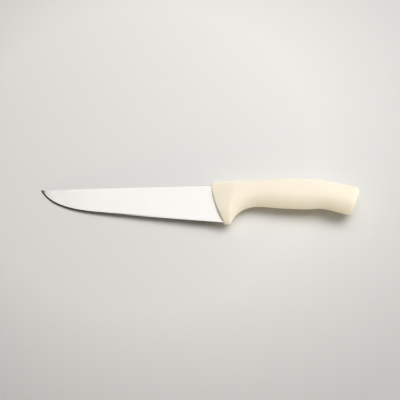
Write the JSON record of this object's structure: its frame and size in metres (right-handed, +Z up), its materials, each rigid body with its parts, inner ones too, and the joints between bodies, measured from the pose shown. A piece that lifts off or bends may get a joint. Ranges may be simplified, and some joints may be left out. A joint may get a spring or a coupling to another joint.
{
  "type": "meat knife",
  "caption": "Butcher's meat knife lying on its side: a wedge-ground steel blade with a hidden pierced tang, and a moulded plastic handle with a finger guard and hooked butt.",
  "frame": {"origin": "middle of the underside of the box round the knife as it lies on its side, on the surface that it lies on", "axes": "+X along the knife from tip to butt, +Y in the plane of the blade from edge to spine, +Z up, across the blade"},
  "size_m": [0.2864, 0.0422, 0.0238],
  "materials": {
    "steel": "bright satin grind with a finer whetted bevel",
    "plastic": "cream, satin, as moulded"
  },
  "bodies": {
    "root": {"blade": "steel", "handle": "plastic"}
  },
  "joints": []
}
